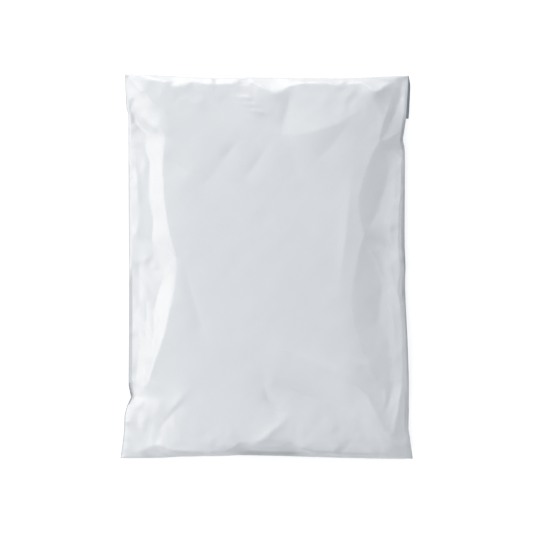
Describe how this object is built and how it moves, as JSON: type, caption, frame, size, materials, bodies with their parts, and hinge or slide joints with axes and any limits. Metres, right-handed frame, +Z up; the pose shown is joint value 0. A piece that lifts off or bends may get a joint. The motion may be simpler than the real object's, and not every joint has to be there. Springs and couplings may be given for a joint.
{
  "type": "poly mailer bag",
  "caption": "Sealed white poly mailer over a soft folded load, lying on its back: folded bottom, welded sides and a flap glued down behind the top fold.",
  "frame": {"origin": "centre of the bag's outline, at the level of the flat back that it rests on", "axes": "+Z up, out of the plain face; +Y along the bag towards the top fold and its flap; +X to the right of the plain face"},
  "size_m": [0.252, 0.331, 0.0416],
  "materials": {
    "white_film": "satin white polyethylene film"
  },
  "bodies": {
    "root": {"mailer_bag": "white_film"}
  },
  "joints": []
}
